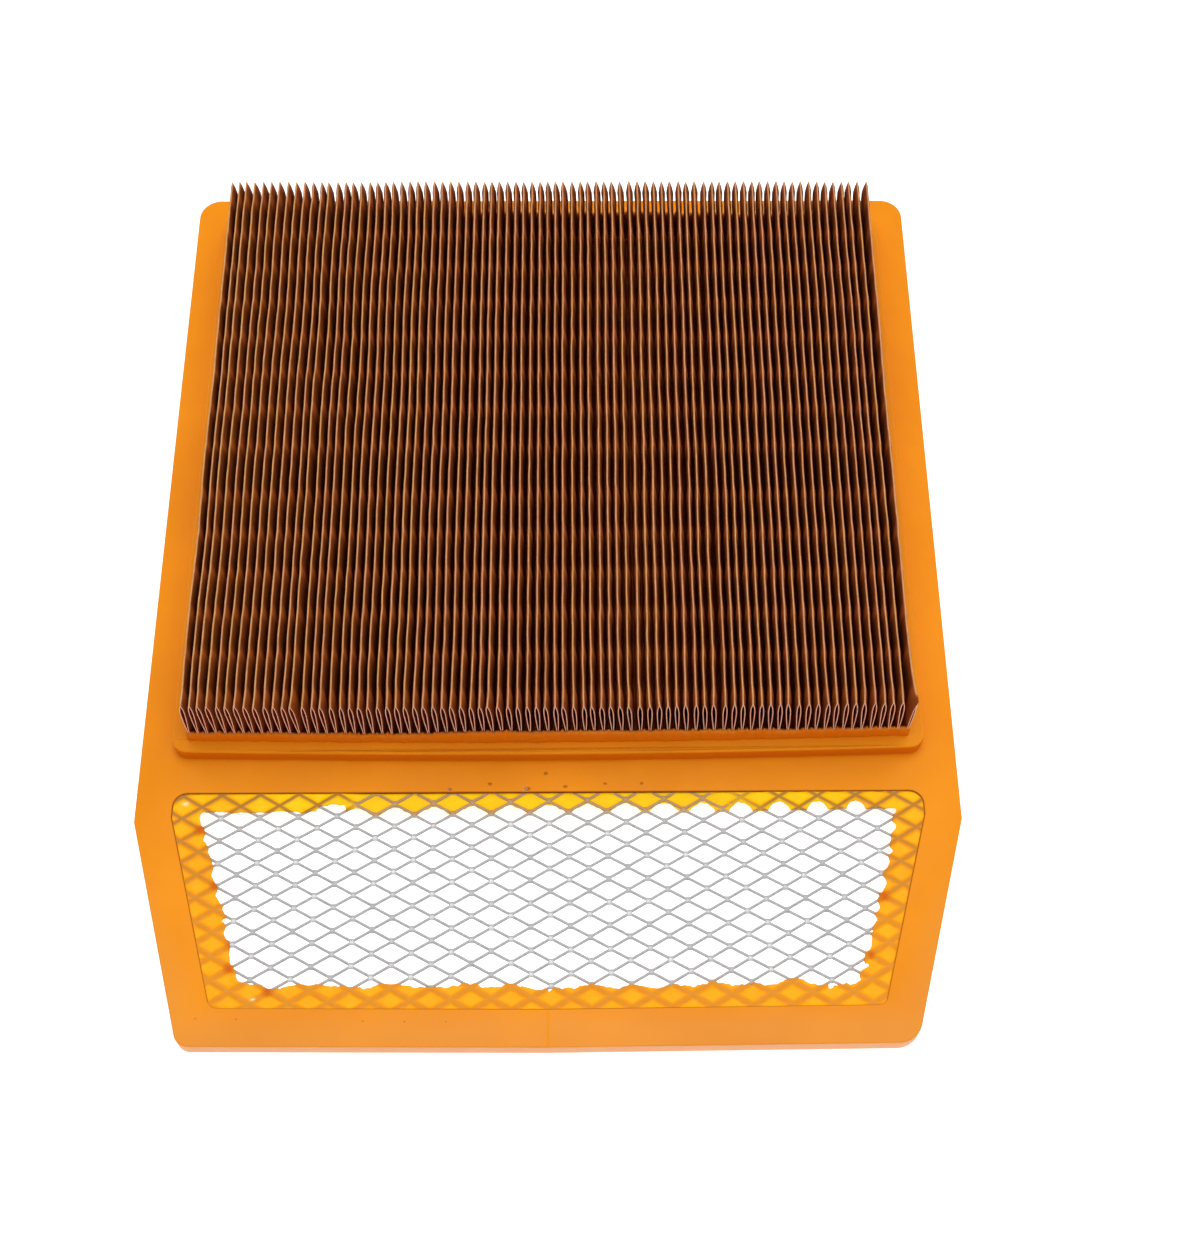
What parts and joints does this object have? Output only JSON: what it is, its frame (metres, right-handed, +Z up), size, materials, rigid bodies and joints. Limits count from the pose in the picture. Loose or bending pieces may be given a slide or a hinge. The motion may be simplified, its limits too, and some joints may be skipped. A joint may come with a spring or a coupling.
{
  "type": "panel air filter",
  "caption": "Flat moulded panel air filter: pleated paper pack standing in a cast sealing frame, with a screened window in front of it.",
  "frame": {"origin": "middle of the bounding box's bottom face, on the plane of the frame's flat underside", "axes": "+Z up out of the pleat tips; X along the width, across the pleats; Y along the pleats, with the screened window towards -Y"},
  "size_m": [0.268, 0.3302, 0.0367],
  "materials": {
    "cast_polyurethane": "satin",
    "potting_polyurethane": "satin",
    "filter_paper": "matte",
    "galvanised_steel": "satin"
  },
  "bodies": {
    "root": {"moulded_frame": "cast_polyurethane", "front_potting_strip": "potting_polyurethane", "back_potting_strip": "potting_polyurethane", "pleated_paper": "filter_paper", "expanded_screen": "galvanised_steel"}
  },
  "joints": []
}
